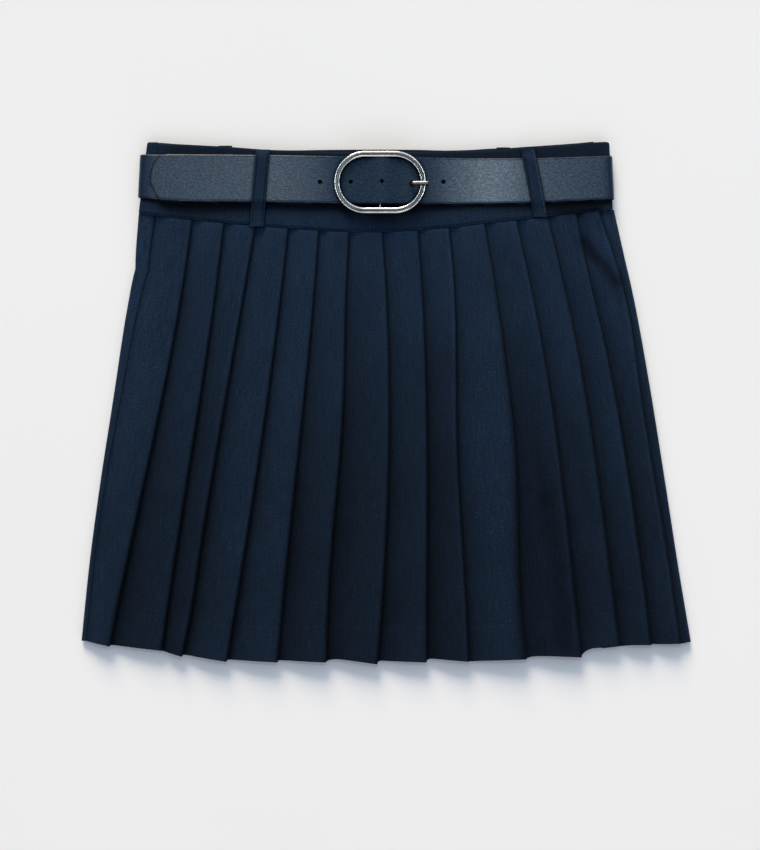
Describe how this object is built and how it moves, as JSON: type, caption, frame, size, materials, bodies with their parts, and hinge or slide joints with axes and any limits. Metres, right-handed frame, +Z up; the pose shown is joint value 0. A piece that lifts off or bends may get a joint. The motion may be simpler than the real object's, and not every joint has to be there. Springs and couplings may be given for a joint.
{
  "type": "pleated mini skirt",
  "caption": "Flared mini skirt of knife-pleated cloth with a shaped waistband, belt loops and its own strap belt with an oval ring buckle, laid flat on its back.",
  "frame": {"origin": "on the surface the skirt lies on, under the middle of its bounding box", "axes": "+Z up from the surface, out of the skirt's front; +Y towards the waist; +X across the skirt, towards the viewer's right and the wearer's left"},
  "size_m": [0.4775, 0.4099, 0.019],
  "materials": {
    "navy_cloth": "matt fine twill",
    "navy_leather": "satin fine grain",
    "polished_metal": "polished"
  },
  "bodies": {
    "root": {"front_panel": "navy_cloth", "back_panel": "navy_cloth", "waistband_front": "navy_cloth", "waistband_back": "navy_cloth", "belt_loop_front_left": "navy_cloth", "belt_loop_front_right": "navy_cloth", "belt_loop_back_left": "navy_cloth", "belt_loop_back_right": "navy_cloth", "belt_strap": "navy_leather", "buckle_frame": "polished_metal", "buckle_prong": "polished_metal"}
  },
  "joints": []
}
